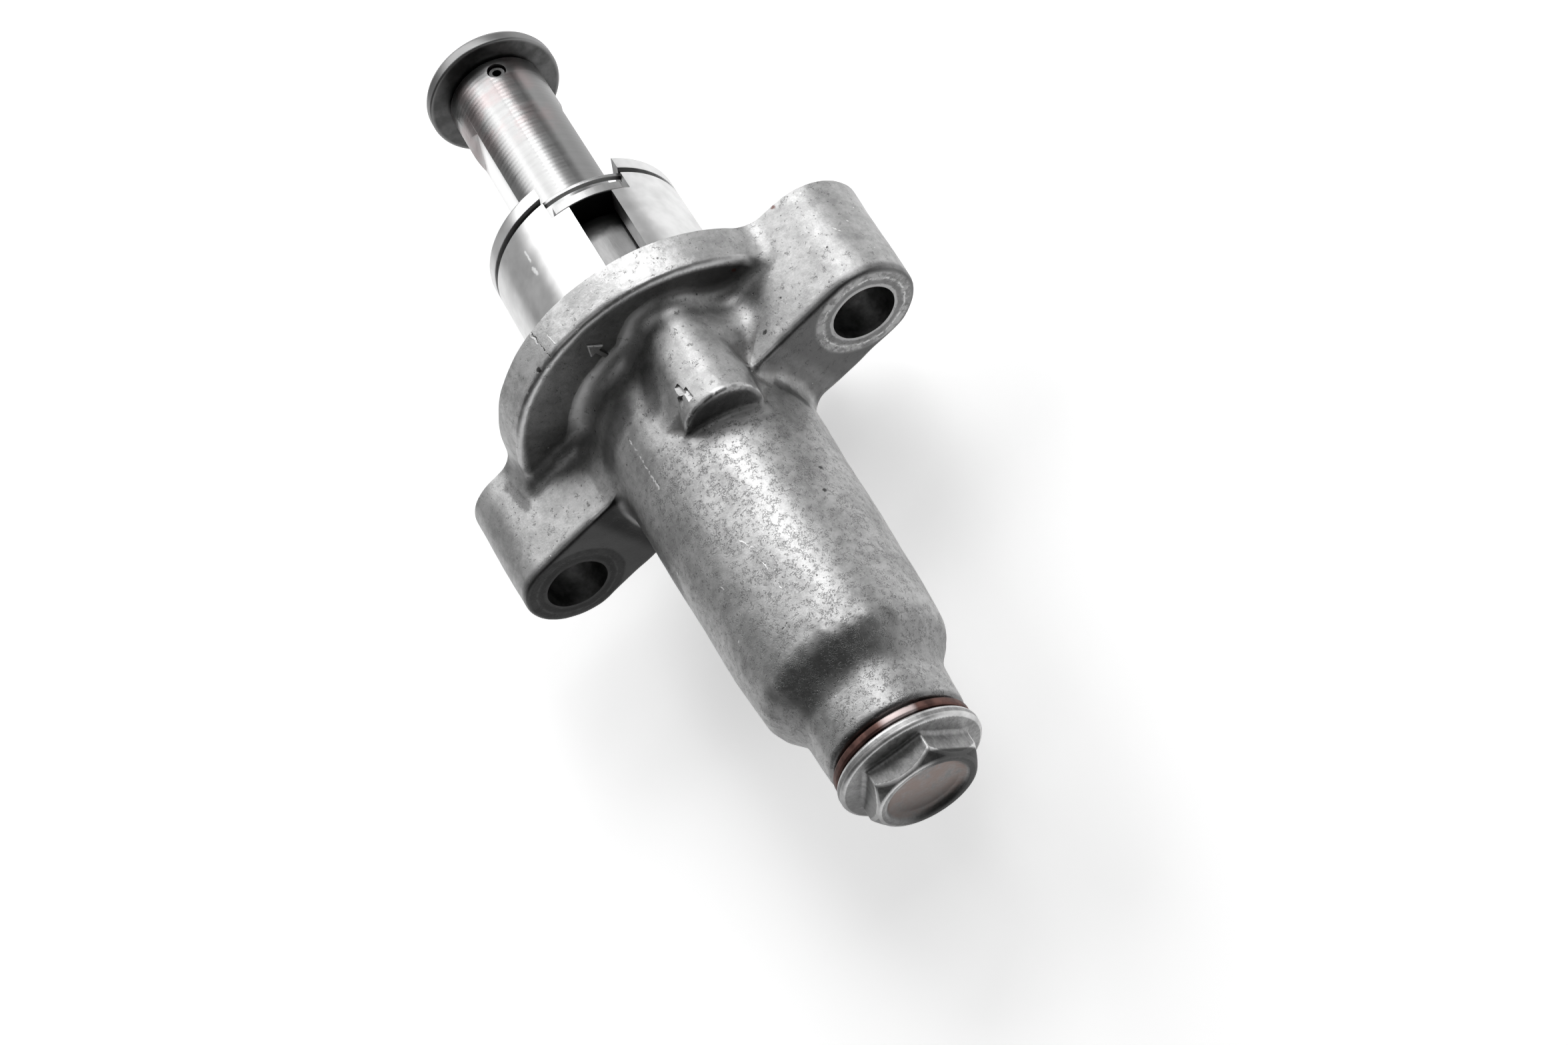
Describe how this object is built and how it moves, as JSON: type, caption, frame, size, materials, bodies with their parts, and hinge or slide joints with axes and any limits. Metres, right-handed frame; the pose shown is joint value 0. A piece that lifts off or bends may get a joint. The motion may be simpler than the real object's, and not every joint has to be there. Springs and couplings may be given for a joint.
{
  "type": "timing chain tensioner",
  "caption": "Screw-type timing chain tensioner: cast case with a two-ear flange, sprung screw spindle, flat-sided plunger with mushroom head, and flanged sealing bolt.",
  "frame": {"origin": "centre of the flange's mounting face, on the plunger's axis", "axes": "+Y along the plunger's axis into the engine, +X through the right-hand ear's bolt hole, +Z to the side that faces up"},
  "size_m": [0.0518, 0.1019, 0.0356],
  "materials": {
    "cast_aluminium": "die-cast, mottled, with machined spigot and seats",
    "plate_steel": "stamped, bright",
    "spring_steel": "oiled spring steel",
    "sleeve_steel": "turned, satin",
    "spindle_steel": "rolled thread, oiled",
    "ground_steel": "ground bright",
    "blackened_steel": "blackened, worn at the rim",
    "copper": "used copper, dull",
    "zinc_steel": "zinc plated, dulled"
  },
  "bodies": {
    "tensioner_case": {"case": "cast_aluminium", "guide_plate": "plate_steel", "snap_ring": "spring_steel", "spacer_sleeve": "sleeve_steel", "seat_plate": "plate_steel", "torsion_spring": "spring_steel", "seal_washer": "copper", "seal_bolt": "zinc_steel"},
    "plunger": {"plunger": "ground_steel", "plunger_head": "blackened_steel", "head_pin": "spring_steel"},
    "spindle": {"screw_spindle": "spindle_steel"}
  },
  "joints": [
    {"name": "plunger_slide", "type": "slide", "parent": "tensioner_case", "child": "plunger", "axis": [0, 1, 0], "range_m": [-0.0205, 0], "stiffness_N_per_m": 500, "springref_m": 0.02},
    {"name": "spindle_turn", "type": "hinge", "parent": "tensioner_case", "child": "spindle", "pos_m": [0, -0.0388, 0], "axis": [0, 1, 0], "range_deg": [-5, 1235], "deforming": ["torsion_spring"]}
  ],
  "couplings": [
    {"joint": "spindle_turn", "follows": "plunger_slide", "rad_per_m": -1047.2}
  ]
}
